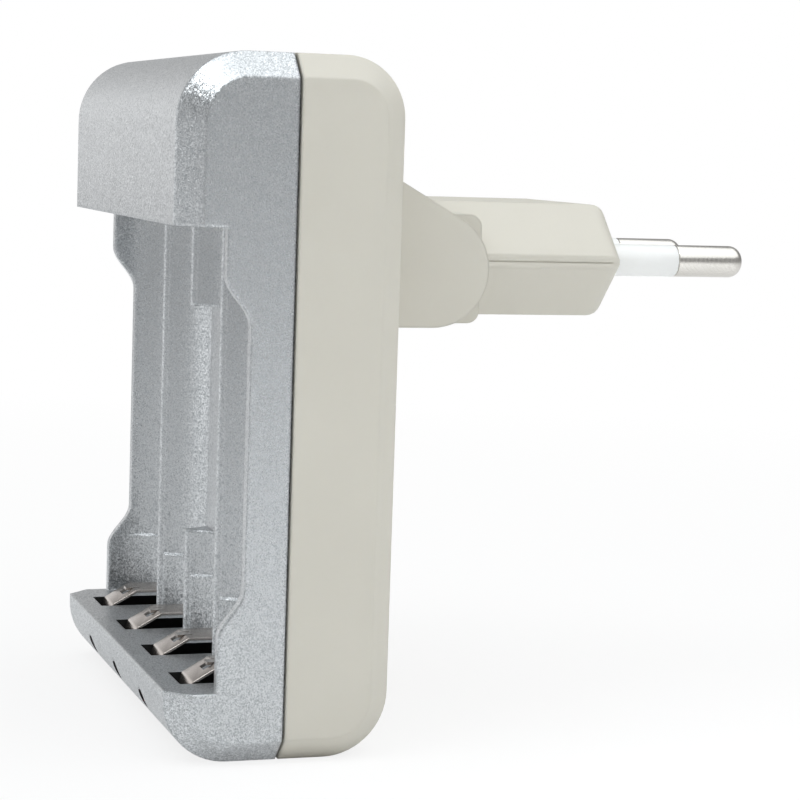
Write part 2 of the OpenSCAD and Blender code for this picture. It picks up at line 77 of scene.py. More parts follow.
joints = {joint["name"]: joint for joint in frame["joints"]}
mounts = {mount["name"]: mount for mount in frame["record"]["mounts"]}
MM = 0.001
print("CAD nodes:", len(nodes), "joints:", len(joints))

# %% [markdown]
# ## The camera
#
# The photograph looks at the right side of the charger, a little from the front and from above, with a
# long lens. Place, heading, pitch and roll below were solved from the corners of the case. Building the
# camera's axes from those angles keeps them readable, which a pasted rotation matrix would not be.

# %% Camera
scene = bpy.context.scene
scene.view_settings.view_transform = "Standard"
CAMERA_PLACE = Vector((288.287, -71.885, 70.573)) * MM
CAMERA_HEADING, CAMERA_PITCH, CAMERA_ROLL = 0.318, -0.107, 0.033
CAMERA_LENS, SENSOR_WIDTH = 108.2, 36
NEAREST = 10

forward = Vector((
    -math.cos(CAMERA_HEADING) * math.cos(CAMERA_PITCH),
    math.sin(CAMERA_HEADING) * math.cos(CAMERA_PITCH),
    math.sin(CAMERA_PITCH),
))
level_right = Vector((math.sin(CAMERA_HEADING), math.cos(CAMERA_HEADING), 0))
level_up = level_right.cross(forward)
right = level_right * math.cos(CAMERA_ROLL) + level_up * math.sin(CAMERA_ROLL)
up = level_up * math.cos(CAMERA_ROLL) - level_right * math.sin(CAMERA_ROLL)
camera_data = bpy.data.cameras.new("camera")
camera_data.lens = CAMERA_LENS
camera_data.sensor_width = SENSOR_WIDTH
camera_data.clip_start = NEAREST * MM
camera = bpy.data.objects.new("camera", camera_data)
scene.collection.objects.link(camera)
camera.matrix_world = Matrix.Translation(CAMERA_PLACE) @ Matrix((right, up, -forward)).transposed().to_4x4()
scene.camera = camera
print("camera", round(CAMERA_PLACE.length / MM), "mm from the origin")

# %% [markdown]
# ## Colours and shader nodes
#
# Colours are given as sRGB hex values, but shaders calculate in linear light. One function
# converts them. A second small function adds a shader node, sets its values and makes its links, so
# that each material below reads as a list of what its surface has. Every pattern reads Object
# coordinates in metres, so its scale is one over a real size.


# %% Colour and node helpers
def linear(hex_colour):
    channels = [int(hex_colour[i:i + 2], 16) / 255 for i in (1, 3, 5)]
    curve = [c / 12.92 if c <= 0.04045 else ((c + 0.055) / 1.055) ** 2.4 for c in channels]
    return (*curve, 1.0)


def add(tree, kind, inputs=None, **settings):
    node = tree.nodes.new(kind)
    for name, value in settings.items():
        setattr(node, name, value)
    for socket, value in (inputs or {}).items():
        if isinstance(value, bpy.types.NodeSocket):
            tree.links.new(value, node.inputs[socket])
        else:
            node.inputs[socket].default_value = value
    return node


def new_material(name, **values):
    material = bpy.data.materials.new(name)
    material.use_nodes = True
    tree = material.node_tree
    shader = tree.nodes["Principled BSDF"]
    for socket, value in values.items():
        shader.inputs[socket.replace("_", " ")].default_value = value
    return material, tree, shader


def per_mm(size):
    return 1 / (size * MM)


print("linear mid grey:", round(linear("#808080")[0], 3))

# %% [markdown]
# ## Silver metallic paint
#
# The front shell is moulded in grey plastic and sprayed silver. The paint holds aluminium flakes that
# lie nearly flat under a thin lacquer: each one is a small mirror with its own tilt, which gives the
# fine sparkle on the side and the bright flare on the rounded corner. A Voronoi pattern makes one cell
# per flake. Its random colour does two jobs: it tilts the normal and it shifts the brightness. Real
# flakes are about 0.03 mm, too fine to show, so they are drawn several times coarser. The Bevel node
# starts the normals off: paint gathers on edges and rounds them, and each one shows a bright line.

# %% Silver metallic paint
FLAKE = 0.12  # real flakes are about 0.03 mm, drawn four times coarser so that they show
FLAKE_TILT = 0.25
PAINTED_EDGE = 0.5
silver_paint, tree, shader = new_material(
    "silver_metallic_paint", Metallic=0.88, Roughness=0.33, Coat_Weight=0.12, Coat_Roughness=0.25
)
place = add(tree, "ShaderNodeTexCoord")
flakes = add(tree, "ShaderNodeTexVoronoi", {"Vector": place.outputs["Object"], "Scale": per_mm(FLAKE)})
flake_light = add(tree, "ShaderNodeSeparateColor", {"Color": flakes.outputs["Color"]})
shade = add(tree, "ShaderNodeValToRGB", {"Fac": flake_light.outputs["Blue"]})
shade.color_ramp.elements[0].color = linear("#989C9F")
shade.color_ramp.elements[1].color = linear("#E3E5E7")
centred = add(
    tree, "ShaderNodeVectorMath", {0: flakes.outputs["Color"], 1: (0.5, 0.5, 0.5)}, operation="SUBTRACT"
)
tilt = add(
    tree, "ShaderNodeVectorMath", {0: centred.outputs["Vector"], "Scale": FLAKE_TILT}, operation="SCALE"
)
edge = add(tree, "ShaderNodeBevel", {"Radius": PAINTED_EDGE * MM}, samples=6)
leaning = add(
    tree, "ShaderNodeVectorMath", {0: edge.outputs["Normal"], 1: tilt.outputs["Vector"]}, operation="ADD"
)
flake_normal = add(tree, "ShaderNodeVectorMath", {0: leaning.outputs["Vector"]}, operation="NORMALIZE")
tree.links.new(shade.outputs["Color"], shader.inputs["Base Color"])
tree.links.new(flake_normal.outputs["Vector"], shader.inputs["Normal"])
tree.links.new(edge.outputs["Normal"], shader.inputs["Coat Normal"])
print("silver paint: flakes of", FLAKE, "mm")

# %% [markdown]
# ## Bare plastic inside the shell, darkened as painted shade
#
# Paint is sprayed from outside, so the inner side of the shell keeps its bare moulding. Its colour is set
# near black: painted shade that stands in for the dark of the closed case. Through the windows under the
# bays the eye meets that dark inside, and it makes the bright contacts stand out.

# %% Bare ABS darkened as painted shade
GRAIN = 0.3
bare_abs_painted_shade, tree, shader = new_material("bare_abs_with_painted_shade", Roughness=0.55, IOR=1.54)
place = add(tree, "ShaderNodeTexCoord")
grain = add(tree, "ShaderNodeTexNoise", {"Vector": place.outputs["Object"], "Scale": per_mm(GRAIN)})
shade = add(tree, "ShaderNodeValToRGB", {"Fac": grain.outputs["Fac"]})
# near-black tones: the bare moulding darkened as painted shade for the closed inside of the case
shade.color_ramp.elements[0].color = linear("#0C0D0E")
shade.color_ramp.elements[1].color = linear("#151718")
tree.links.new(shade.outputs["Color"], shader.inputs["Base Color"])
print("grey plastic: grain of", GRAIN, "mm")

# %% [markdown]
# ## Warm off-white ABS
#
# The rear shell and the plug are plain ABS from a spark-eroded mould: a matt, slightly warm white with a
# grain like fine paper. A noise at the grain's size drives a shallow bump, and a second, broad one keeps
# the colour from being perfectly even, as moulded plastic never is.

# %% Off-white ABS
EROSION = 0.22  # the real grain is about 0.1 mm, drawn coarser so that it shows
EROSION_DEPTH = 0.012
FLOW = 14
MOULD_EDGE = 0.6
ABS_DEPTHS = (0.8, 0.7, 0.5)  # how far red, green and blue light go in
cream_abs, tree, shader = new_material("off_white_abs", IOR=1.54, Subsurface_Weight=0.06)
shader.inputs["Subsurface Radius"].default_value = [depth * MM for depth in ABS_DEPTHS]
shader.inputs["Subsurface Scale"].default_value = 1.0
place = add(tree, "ShaderNodeTexCoord")
erosion = add(
    tree, "ShaderNodeTexNoise", {"Vector": place.outputs["Object"], "Scale": per_mm(EROSION), "Detail": 3}
)
flow = add(tree, "ShaderNodeTexNoise", {"Vector": place.outputs["Object"], "Scale": per_mm(FLOW)})
shade = add(tree, "ShaderNodeValToRGB", {"Fac": flow.outputs["Fac"]})
shade.color_ramp.elements[0].color = linear("#CCC8BD")
shade.color_ramp.elements[1].color = linear("#D3CFC4")
gloss = add(
    tree, "ShaderNodeMapRange",
    {"Value": erosion.outputs["Fac"], "From Min": 0.3, "From Max": 0.7, "To Min": 0.42, "To Max": 0.58},
)
edge = add(tree, "ShaderNodeBevel", {"Radius": MOULD_EDGE * MM}, samples=6)
bump = add(
    tree, "ShaderNodeBump",
    {
        "Height": erosion.outputs["Fac"], "Strength": 0.5, "Distance": EROSION_DEPTH * MM,
        "Normal": edge.outputs["Normal"],
    },
)
tree.links.new(shade.outputs["Color"], shader.inputs["Base Color"])
tree.links.new(gloss.outputs["Result"], shader.inputs["Roughness"])
tree.links.new(bump.outputs["Normal"], shader.inputs["Normal"])
print("off-white plastic: grain of", EROSION, "mm")

# %% [markdown]
# ## White nylon sleeves
#
# The root of each pin is covered by a smooth nylon sleeve. Nylon is whiter and silkier than the ABS
# beside it, and a little light goes through it, so its shadow side stays bright.

# %% White nylon
NYLON_MOTTLE = 2.5
NYLON_DEPTHS = (1.2, 1.2, 1.1)
white_nylon, tree, shader = new_material("white_nylon", Roughness=0.34, IOR=1.53, Subsurface_Weight=0.25)
shader.inputs["Subsurface Radius"].default_value = [depth * MM for depth in NYLON_DEPTHS]
shader.inputs["Subsurface Scale"].default_value = 1.0
place = add(tree, "ShaderNodeTexCoord")
mottle = add(tree, "ShaderNodeTexNoise", {"Vector": place.outputs["Object"], "Scale": per_mm(NYLON_MOTTLE)})
shade = add(tree, "ShaderNodeValToRGB", {"Fac": mottle.outputs["Fac"]})
shade.color_ramp.elements[0].color = linear("#F2F2F0")
shade.color_ramp.elements[1].color = linear("#F8F8F6")
tree.links.new(shade.outputs["Color"], shader.inputs["Base Color"])
print("nylon: mottle of", NYLON_MOTTLE, "mm")

# %% [markdown]
# ## Nickel plate on turned pins
#
# Pins and contacts are brass and steel under bright nickel, a warm, slightly yellow mirror. What tells
# them apart is how they were made. The pins are turned, so very fine rings run round them. A Wave texture
# in bands across the pin gives those, and only roughens the mirror a little. At scale 1 it repeats every
# tau / 20, hence that factor.

# %% Nickel on turned pins
RING = 0.18  # real turning marks are about 0.05 mm apart, drawn coarser so that they show
RING_DEPTH = 0.01
WAVE_TURN = math.tau / 20
nickel_pin, tree, shader = new_material("bright_nickel_turned", Metallic=1.0)
place = add(tree, "ShaderNodeTexCoord")
rings = add(
    tree, "ShaderNodeTexWave",
    {"Vector": place.outputs["Object"], "Scale": per_mm(RING) * WAVE_TURN, "Distortion": 1.2, "Detail": 2},
    wave_type="BANDS", bands_direction="Y",
)
shade = add(tree, "ShaderNodeValToRGB", {"Fac": rings.outputs["Fac"]})
shade.color_ramp.elements[0].color = linear("#D0CCC6")
shade.color_ramp.elements[1].color = linear("#E2DFDA")
gloss = add(tree, "ShaderNodeMapRange", {"Value": rings.outputs["Fac"], "To Min": 0.22, "To Max": 0.34})
bump = add(
    tree, "ShaderNodeBump",
    {"Height": rings.outputs["Fac"], "Strength": 0.15, "Distance": RING_DEPTH * MM},
)
tree.links.new(shade.outputs["Color"], shader.inputs["Base Color"])
tree.links.new(gloss.outputs["Result"], shader.inputs["Roughness"])
tree.links.new(bump.outputs["Normal"], shader.inputs["Normal"])
print("turned nickel: rings every", RING, "mm")

# %% [markdown]
# ## Nickel plate on rolled strip
#
# The contacts are cut from rolled sheet, so fine lines run along them and the mirror is a little streaky.
# Bands would be too even for that. A noise that is fine across the strip and drawn out along it gives
# lines of uneven strength.

# %% Nickel on rolled strip
ROLL_LINE = 0.12  # real rolling lines are about 0.02 mm wide, drawn coarser so that they show
LINE_STRETCH = 25
nickel_strip, tree, shader = new_material("bright_nickel_rolled", Metallic=1.0)
place = add(tree, "ShaderNodeTexCoord")
along = add(
    tree, "ShaderNodeMapping",
    {"Vector": place.outputs["Object"], "Scale": (1, 1 / LINE_STRETCH, 1 / LINE_STRETCH)},
)
lines = add(
    tree, "ShaderNodeTexNoise", {"Vector": along.outputs["Vector"], "Scale": per_mm(ROLL_LINE), "Detail": 2}
)
shade = add(tree, "ShaderNodeValToRGB", {"Fac": lines.outputs["Fac"]})
shade.color_ramp.elements[0].color = linear("#B4ACA6")
shade.color_ramp.elements[1].color = linear("#D4CDC7")
gloss = add(tree, "ShaderNodeMapRange", {"Value": lines.outputs["Fac"], "To Min": 0.18, "To Max": 0.3})
tree.links.new(shade.outputs["Color"], shader.inputs["Base Color"])
tree.links.new(gloss.outputs["Result"], shader.inputs["Roughness"])
print("rolled nickel: lines every", ROLL_LINE, "mm")

# %% [markdown]
# ## Red epoxy
#
# The lamps are cast in tinted clear epoxy. Switched off and sunk in a hole they look almost black, with
# a deep red where light gets through, and a glassy glint on the dome.

# %% Red epoxy
red_epoxy, tree, shader = new_material(
    "tinted_red_epoxy", Roughness=0.08, IOR=1.53, Transmission_Weight=0.15, Coat_Weight=0.3
)
CAST_SWIRL = 1.2
place = add(tree, "ShaderNodeTexCoord")
swirl = add(tree, "ShaderNodeTexNoise", {"Vector": place.outputs["Object"], "Scale": per_mm(CAST_SWIRL)})
shade = add(tree, "ShaderNodeValToRGB", {"Fac": swirl.outputs["Fac"]})
shade.color_ramp.elements[0].color = linear("#A02A44")
shade.color_ramp.elements[1].color = linear("#C84860")
tree.links.new(shade.outputs["Color"], shader.inputs["Base Color"])
print("epoxy: swirl of", CAST_SWIRL, "mm")

# %% [markdown]
# ## Finishes inside the case
#
# What sits behind the bays is seen only through the windows, the screw wells and the spring slots. Each
# piece still has its own finish. They share one recipe, two tones of a colour mixed by a noise of the
# material's own grain size, so one table lists them.

# %% Inner finishes
# dark tone, light tone, grain in mm, metallic, roughness
INNER_FINISHES = {
    "zinc_plated_steel": ("#8B8E90", "#A3A6A8", 0.4, 1.0, 0.32),
    "rolled_spring_brass": ("#A98A45", "#C3A45C", 0.2, 1.0, 0.3),
    "tinned_copper_wire": ("#A9A9A5", "#C2C2BE", 0.3, 1.0, 0.35),
    "green_solder_mask": ("#1F4A2B", "#2C6038", 1.5, 0.0, 0.4),
    "sintered_ferrite": ("#232325", "#313134", 0.25, 0.0, 0.6),
    "enamelled_winding": ("#7C4C22", "#A2682F", 0.35, 0.6, 0.4),
    "shrunk_pvc_sleeve": ("#1C2745", "#27345A", 4.0, 0.0, 0.35),
}
inner = {}
for name, (dark, light, grain_size, metallic, roughness) in INNER_FINISHES.items():
    inner[name], tree, shader = new_material(name, Metallic=metallic, Roughness=roughness)
    place = add(tree, "ShaderNodeTexCoord")
    grain = add(tree, "ShaderNodeTexNoise", {"Vector": place.outputs["Object"], "Scale": per_mm(grain_size)})
    shade = add(tree, "ShaderNodeValToRGB", {"Fac": grain.outputs["Fac"]})
    shade.color_ramp.elements[0].color = linear(dark)
    shade.color_ramp.elements[1].color = linear(light)
    tree.links.new(shade.outputs["Color"], shader.inputs["Base Color"])
print("inner finishes:", len(inner))

# %% [markdown]
# ## Materials by slot
#
# The record names a material slot for each CAD node. A table from slot to Blender material dresses every
# node at once. Nodes that are replaced further down are simply hidden again.

# %% Dress the CAD nodes
SLOT_LOOKS = {
    "silver_paint": silver_paint,
    "cream_abs": cream_abs,
    "white_nylon": white_nylon,
    "nickel_plate": nickel_strip,
    "red_epoxy": red_epoxy,
    "zinc_steel": inner["zinc_plated_steel"],
    "spring_brass": inner["rolled_spring_brass"],
    "tinned_wire": inner["tinned_copper_wire"],
    "board_laminate": inner["green_solder_mask"],
    "ferrite": inner["sintered_ferrite"],
    "copper_winding": inner["enamelled_winding"],
    "capacitor_sleeve": inner["shrunk_pvc_sleeve"],
}
slots = {part["node"]: part["material_slot"] for part in frame["record"]["subparts"]}
for name, node in nodes.items():
    node.data.materials.clear()
    node.data.materials.append(SLOT_LOOKS[slots[name]])
print("dressed", len(slots), "nodes")

# %% [markdown]
# ## Putting a finished piece on its body
#
# Each new piece takes the place of a CAD node. It rides on that node's body and hides the node. One
# function makes those two calls, so no piece forgets one.


# %% Hand a piece to the frame
def stand_for(piece, node):
    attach(piece, nodes[node]["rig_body"])
    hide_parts(node)


def new_piece(name, mesh, *looks):
    for look in looks:
        mesh.materials.append(look)
    piece = bpy.data.objects.new(name, mesh)
    scene.collection.objects.link(piece)
    return piece


# %% [markdown]
# ## Smooth faces and sharp edges
#
# Light should run smoothly over a rounded corner and break at a real edge. A face's shading is smooth
# unless its edge is marked sharp, so each edge is marked by how far its two faces turn. A wall that shared
# its shading with the floor it stands on would seem to lean, and would mirror the wrong lamp.

# %% Mark the sharp edges
EDGE_TURN = math.radians(30)


def mark_edges(mesh):
    shape = bmesh.new()
    shape.from_mesh(mesh)
    for face in shape.faces:
        face.smooth = True
    for edge in shape.edges:
        edge.smooth = edge.calc_face_angle(0) < EDGE_TURN
    shape.to_mesh(mesh)
    shape.free()


print("edges stay sharp from", round(math.degrees(EDGE_TURN)), "degrees")

# %% [markdown]
# ## Moulded shells
#
# The CAD mesh is a heap of loose triangles. A copy of it is joined along them and its flat faces are
# merged, so that only the edges of the real moulding are left. The small radius that every mould leaves
# on those edges comes from the Bevel node in the two plastics' materials. Modelling the radius would mean
# hundreds of tiny faces where the bays, ribs and windows meet.

# %% Moulded shells
JOIN = 0.002
FLAT_TURN = math.radians(0.6)


def joined_copy(node, piece_name, *looks):
    shape = bmesh.new()
    shape.from_mesh(nodes[node].data)
    bmesh.ops.remove_doubles(shape, verts=shape.verts, dist=JOIN * MM)
    bmesh.ops.dissolve_limit(shape, angle_limit=FLAT_TURN, verts=shape.verts, edges=shape.edges)
    mesh = bpy.data.meshes.new(piece_name)
    shape.to_mesh(mesh)
    shape.free()
    mark_edges(mesh)
    piece = new_piece(piece_name, mesh, *looks)
    stand_for(piece, node)
    print(piece_name, len(mesh.polygons), "faces")
    return piece


front = joined_copy("front_shell", "moulded_front_shell", silver_paint, bare_abs_painted_shade)
joined_copy("rear_shell", "moulded_rear_shell", cream_abs)
joined_copy("plug_body", "moulded_plug", cream_abs)

# %% [markdown]
# ## Where the paint stops
#
# The spray reaches only the outside and the bays. A face is inner when it lies under the shelf's top,
# over the ceiling or behind the bays and also looks at another part of the shell, or out of the open
# back. A ray sent from each face along its normal finds that out. Those faces take the bare plastic, whose
# near-black colour is painted shade for the closed inside. The walls of the windows take it too, though
# the spray would partly reach them: there it is painted shade alone, which makes them the dark slots that
# the contacts rise from.

# %% Unpainted inner faces
SHELF_TOP, CEILING_OVER, BAY_BACK = 8.5, 62.1, 2.6
LIFT, BACKWARD = 0.02, 0.5
shell_tree = BVHTree.FromPolygons(
    [v.co for v in front.data.vertices], [f.vertices for f in front.data.polygons]
)
bare = 0
# faces found here take the near-black bare plastic: painted shade inside the case and on the window walls
for face in front.data.polygons:
    y, z = face.center.y / MM, face.center.z / MM
    if z < SHELF_TOP - LIFT or z > CEILING_OVER or y > BAY_BACK:
        hit = shell_tree.ray_cast(face.center + face.normal * LIFT * MM, face.normal)[0]
        if hit or face.normal.y > BACKWARD:
            face.material_index = 1
            bare += 1
print("bare faces:", bare, "of", len(front.data.polygons))

# %% [markdown]
# ## Negative contacts
#
# Each negative contact is a strip of sheet bent five times: a tip turned down, a ramp that the cell
# slides up, a flat pad, a leg through the window and a foot with a rolled end. A tongue punched out of
# the ramp stays level with the pad and leaves a small dark slot. The strip follows a path, so Geometry
# Nodes make it. The path is a short line of corner points, Fillet Curve gives every corner its bend
# radius, Curve to Mesh sweeps the sheet's section along it, and Mesh Boolean punches the slot. The four
# strips share the tree and differ in one input.

# %% Contact strip tree
WORN_EDGE = 0.08
BEND_STEPS, EDGE_STEPS, ROLL_SIDES = 8, 3, 32
strip_tree = bpy.data.node_groups.new("contact_strip", "GeometryNodeTree")
strip_tree.interface.new_socket("Geometry", in_out="INPUT", socket_type="NodeSocketGeometry")
strip_inputs = {}
for name, kind in (
    ("Bay X", "NodeSocketFloat"), ("Bend Radius", "NodeSocketFloat"), ("Strip Width", "NodeSocketFloat"),
    ("Sheet Thickness", "NodeSocketFloat"), ("Roll Radius", "NodeSocketFloat"),
    ("Roll Place", "NodeSocketVector"), ("Slot Size", "NodeSocketVector"), ("Slot Place", "NodeSocketVector"),
    ("Tongue Size", "NodeSocketVector"), ("Tongue Place", "NodeSocketVector"),
    ("Plating", "NodeSocketMaterial"),
):
    socket = strip_tree.interface.new_socket(name, in_out="INPUT", socket_type=kind)
    strip_inputs[name] = socket.identifier
strip_tree.interface.new_socket("Geometry", in_out="OUTPUT", socket_type="NodeSocketGeometry")
given = add(strip_tree, "NodeGroupInput").outputs
bends = add(
    strip_tree, "GeometryNodeFilletCurve",
    {"Curve": given["Geometry"], "Radius": given["Bend Radius"], "Count": BEND_STEPS}, mode="POLY",
)
section = add(
    strip_tree, "GeometryNodeCurvePrimitiveQuadrilateral",
    {"Width": given["Strip Width"], "Height": given["Sheet Thickness"]},
)
worn_section = add(
    strip_tree, "GeometryNodeFilletCurve",
    {"Curve": section.outputs["Curve"], "Radius": WORN_EDGE * MM, "Count": EDGE_STEPS}, mode="POLY",
)
swept = add(
    strip_tree, "GeometryNodeCurveToMesh",
    {"Curve": bends.outputs["Curve"], "Profile Curve": worn_section.outputs["Curve"], "Fill Caps": True},
)
roll = add(
    strip_tree, "GeometryNodeMeshCylinder",
    {"Vertices": ROLL_SIDES, "Radius": given["Roll Radius"], "Depth": given["Strip Width"]},
)
laid_roll = add(
    strip_tree, "GeometryNodeTransform",
    {"Geometry": roll.outputs["Mesh"], "Translation": given["Roll Place"], "Rotation": (0, math.pi / 2, 0)},
)
slot = add(strip_tree, "GeometryNodeMeshCube", {"Size": given["Slot Size"]})
laid_slot = add(
    strip_tree, "GeometryNodeTransform", {"Geometry": slot.outputs["Mesh"], "Translation": given["Slot Place"]}
)
punched = add(
    strip_tree, "GeometryNodeMeshBoolean",
    {"Mesh 1": swept.outputs["Mesh"], "Mesh 2": laid_slot.outputs["Geometry"]}, operation="DIFFERENCE",
)
tongue = add(strip_tree, "GeometryNodeMeshCube", {"Size": given["Tongue Size"]})
laid_tongue = add(
    strip_tree, "GeometryNodeTransform",
    {"Geometry": tongue.outputs["Mesh"], "Translation": given["Tongue Place"]},
)
joined = add(strip_tree, "GeometryNodeJoinGeometry")
for part in (punched.outputs["Mesh"], laid_roll.outputs["Geometry"], laid_tongue.outputs["Geometry"]):
    strip_tree.links.new(part, joined.inputs["Geometry"])
offset = add(strip_tree, "ShaderNodeCombineXYZ", {"X": given["Bay X"]})
placed = add(
    strip_tree, "GeometryNodeTransform",
    {"Geometry": joined.outputs["Geometry"], "Translation": offset.outputs["Vector"]},
)
real = add(strip_tree, "GeometryNodeRealizeInstances", {"Geometry": placed.outputs["Geometry"]})
plated = add(
    strip_tree, "GeometryNodeSetMaterial", {"Geometry": real.outputs["Geometry"], "Material": given["Plating"]}
)
add(strip_tree, "NodeGroupOutput", {"Geometry": plated.outputs["Geometry"]})
print("strip tree:", len(strip_tree.nodes), "nodes")

# %% [markdown]
# ## Four strips from one tree
#
# The places of the bends are those of the CAD strip, given as distance from the seam and height. Each
# strip turns about its rolled end, so the frame's joint says where that end lies. The tree works on a
# guide curve, and its result is kept as a plain mesh that rides on the contact's own body.

# %% Four contact strips
STRIP_WIDTH, SHEET, BEND, ROLL = 5.6, 0.35, 0.55, 0.6
TIP, RAMP, PAD_FRONT, PAD_HEIGHT, LEG = (-9.7, 7.2), (-9.1, 8.5), -6.1, 10.225, -1.075
SLOT_WIDTH, SLOT_FRONT, SLOT_REAR, SLOT_LOW = 2.0, -7.6, -5.3, 8.6
TONGUE_WIDTH, TONGUE_FRONT, TONGUE_REAR = 1.6, -7.1, -5.2
slot_top = PAD_HEIGHT + SHEET
punch = {
    "Slot Size": (SLOT_WIDTH * MM, (SLOT_REAR - SLOT_FRONT) * MM, (slot_top - SLOT_LOW) * MM),
    "Slot Place": (0, (SLOT_FRONT + SLOT_REAR) / 2 * MM, (SLOT_LOW + slot_top) / 2 * MM),
    "Tongue Size": (TONGUE_WIDTH * MM, (TONGUE_REAR - TONGUE_FRONT) * MM, SHEET * MM),
    "Tongue Place": (0, (TONGUE_FRONT + TONGUE_REAR) / 2 * MM, PAD_HEIGHT * MM),
}
strips = []
for number in range(1, 5):
    press = joints[f"contact_press_{number}"]
    bay_x, roll_y, roll_z = press["pos_m"]
    foot = roll_z / MM
    corners = [TIP, RAMP, (PAD_FRONT, PAD_HEIGHT), (LEG, PAD_HEIGHT), (LEG, foot), (roll_y / MM, foot)]
    path = bpy.data.curves.new(f"contact_path_{number}", "CURVE")
    path.dimensions = "3D"
    spline = path.splines.new("POLY")
    spline.points.add(len(corners) - 1)
    for point, (y, z) in zip(spline.points, corners):
        point.co = (0, y * MM, z * MM, 1)
    guide = bpy.data.objects.new(f"contact_guide_{number}", path)
    scene.collection.objects.link(guide)
    bend = guide.modifiers.new("bend", "NODES")
    bend.node_group = strip_tree
    sizes = {
        "Bay X": bay_x, "Bend Radius": BEND * MM, "Strip Width": STRIP_WIDTH * MM,
        "Sheet Thickness": SHEET * MM, "Roll Radius": ROLL * MM, "Roll Place": (0, roll_y, roll_z),
        "Plating": nickel_strip, **punch,
    }
    for name, value in sizes.items():
        bend[strip_inputs[name]] = value
    guide.update_tag()
    evaluated = guide.evaluated_get(bpy.context.evaluated_depsgraph_get())
    mesh = bpy.data.meshes.new_from_object(evaluated)
    bpy.data.objects.remove(guide)
    mark_edges(mesh)
    strip = new_piece(f"bent_contact_{number}", mesh)
    stand_for(strip, f"negative_contact_{number}")
    strips.append(strip)
low, high = strips[0].bound_box[0], strips[0].bound_box[6]
print("strip size in mm:", [round((h - l) / MM, 2) for l, h in zip(low, high)])

# %% [markdown]
# ## A lathe
#
# Pins, sleeves and lamps are round, so each is a profile spun about its own axis, as on a lathe. A profile
# lists distance along the axis and radius. Rounded stretches are arcs, worked out from their radius, so
# that the pin's tip and the lamp's dome have smooth outlines at any zoom.

# %% Lathe
LATHE_STEPS = 72


def arc(along, radius, round_r, first, last, steps=10):
    """Points round a corner whose centre is at (along, radius), from one angle to another in degrees."""
    turns = [math.radians(first + (last - first) * i / steps) for i in range(steps + 1)]
    return [(along + round_r * math.sin(t), radius + round_r * math.cos(t)) for t in turns]


def turned(name, x, z, profile, look):
    """Spins a profile of (y, radius) points in millimetres about the line along Y through x and z."""
    shape = bmesh.new()
    rim = [shape.verts.new((x, y * MM, z + r * MM)) for y, r in profile]
    outline = [shape.edges.new(pair) for pair in zip(rim, rim[1:])]
    bmesh.ops.spin(
        shape, geom=rim + outline, cent=(x, 0, z), axis=(0, 1, 0), angle=math.tau, steps=LATHE_STEPS
    )
    bmesh.ops.remove_doubles(shape, verts=shape.verts, dist=JOIN * MM)
    bmesh.ops.recalc_face_normals(shape, faces=shape.faces)
    mesh = bpy.data.meshes.new(name)
    shape.to_mesh(mesh)
    shape.free()
    mark_edges(mesh)
    return new_piece(name, mesh, look)


print("lathe steps:", LATHE_STEPS)

# %% [markdown]
# ## Pins and sleeves
#
# A pin is 4 mm thick at its bare end and thinner under the sleeve, so that sleeve and pin are flush. Its
# tip is rounded to find the socket. Length and place come from the CAD pieces, so the pins stay the size
# that the plug's standard asks for.

# %% Pins and sleeves
PIN_R, CORE_R, TIP_R, RIM_R, TAIL_TAPER = 2.0, 1.45, 1.6, 0.18, 0.3
RIM_STEPS = 4
for side in ("left", "right"):
    x, _, z = mounts[f"plug_pin_{side}"]["pos_m"]
    tail, tip = (corner.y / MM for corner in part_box(f"plug_pin_{side}"))
    face, neck = (corner.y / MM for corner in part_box(f"pin_sleeve_{side}"))
    pin_profile = [
        (tail, 0), (tail, CORE_R / 3), (tail + TAIL_TAPER, CORE_R), (neck, CORE_R),
        *arc(neck + RIM_R, PIN_R - RIM_R, RIM_R, -90, 0, RIM_STEPS),
        *arc(tip - TIP_R, PIN_R - TIP_R, TIP_R, 0, 90), (tip, 0),
    ]
    pin = turned(f"turned_pin_{side}", x, z, pin_profile, nickel_pin)
    stand_for(pin, f"plug_pin_{side}")
    sleeve_profile = [
        (face, CORE_R), (face, PIN_R),
        *arc(neck - RIM_R, PIN_R - RIM_R, RIM_R, 0, 90, RIM_STEPS), (neck, CORE_R), (face, CORE_R),
    ]
    sleeve = turned(f"nylon_sleeve_{side}", x, z, sleeve_profile, white_nylon)
    stand_for(sleeve, f"pin_sleeve_{side}")
    print(pin.name, len(pin.data.polygons), "faces,", sleeve.name, len(sleeve.data.polygons), "faces")

# %% [markdown]
# ## Lamps
#
# Each indicator lamp is a small cast dome with a flange at its foot, pushed into its hole from inside.
# Only the dome's end shows, so the arc that makes it matters more than the rest.

# %% Lamps
LAMP_R, FLANGE_R, FLANGE = 1.05, 1.2, 1.0
DOME_STEPS = 14
for place_name in ("left", "centre", "right"):
    low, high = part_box(f"led_{place_name}")
    middle = (low + high) / 2
    tip, foot = low.y / MM, high.y / MM
    profile = [
        (foot, 0), (foot, FLANGE_R), (foot - FLANGE, FLANGE_R), (foot - FLANGE, LAMP_R),
        *arc(tip + LAMP_R, 0, LAMP_R, 0, -90, DOME_STEPS),
    ]
    lamp = turned(f"lamp_{place_name}", middle.x, middle.z, profile, red_epoxy)
    stand_for(lamp, f"led_{place_name}")
print("lamp of", 2 * LAMP_R, "mm at", [round(v / MM, 2) for v in middle])

# %% [markdown]
# ## Floor
#
# The photograph is a cut-out on pure white. The pale floor turns to that plain white away from the
# charger, while it keeps the soft shadow near it. More light would give white too, but it would bleach
# the paint. So for rays that the camera sends, or that clear plastic passes on, the floor is mostly a
# plain white of its own, and metal mirrors a weaker share of that.

